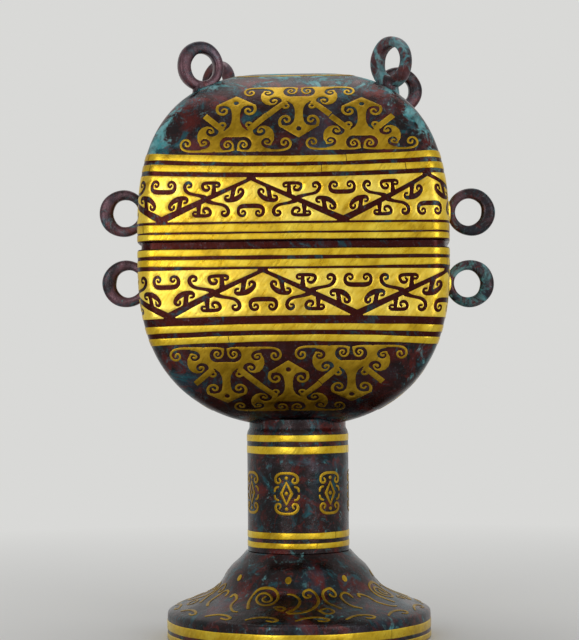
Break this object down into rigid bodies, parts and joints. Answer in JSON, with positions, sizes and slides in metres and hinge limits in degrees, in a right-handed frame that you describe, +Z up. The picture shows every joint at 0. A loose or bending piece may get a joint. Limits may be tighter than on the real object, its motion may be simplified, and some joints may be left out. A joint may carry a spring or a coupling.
{
  "type": "lidded incense burner",
  "caption": "Oblong lidded bronze bowl with ring handles on a cylindrical stem and a flared round foot, banded with gold strips; the lid lifts off.",
  "frame": {"origin": "centre of the foot's flat underside", "axes": "+Z up along the stem, +X along the oblong body's width, front face towards -Y"},
  "size_m": [0.1588, 0.1048, 0.2357],
  "materials": {
    "bronze": "dark red-brown patina with green and blue patches",
    "gold": "hammered gold sheet, burnished and worn",
    "ring_bronze": "purple-brown patina, satin"
  },
  "bodies": {
    "base": {"foot": "bronze", "stem": "bronze", "bowl": "bronze", "foot_lower_gold_strip": "gold", "foot_upper_gold_strip": "gold", "stem_bottom_gold_strip": "gold", "stem_lower_gold_strip": "gold", "stem_upper_gold_strip": "gold", "stem_top_gold_strip": "gold", "bowl_rim_gold_strip": "gold", "bowl_upper_gold_strip": "gold", "bowl_zigzag_gold_panel": "gold", "bowl_middle_gold_strip": "gold", "bowl_lower_gold_strip": "gold", "bowl_left_ring": "ring_bronze", "bowl_right_ring": "ring_bronze"},
    "lid": {"lid": "bronze", "lid_rim_gold_strip": "gold", "lid_lower_gold_strip": "gold", "lid_zigzag_gold_panel": "gold", "lid_middle_gold_strip": "gold", "lid_upper_gold_strip": "gold", "lid_left_ring": "ring_bronze", "lid_right_ring": "ring_bronze", "lid_top_ring_front_left": "ring_bronze", "lid_top_ring_front_right": "ring_bronze", "lid_top_ring_back_left": "ring_bronze", "lid_top_ring_back_right": "ring_bronze"}
  },
  "joints": [
    {"name": "lid_lift", "type": "slide", "parent": "base", "child": "lid", "axis": [0, 0, 1], "range_m": [0, 0.08]}
  ]
}
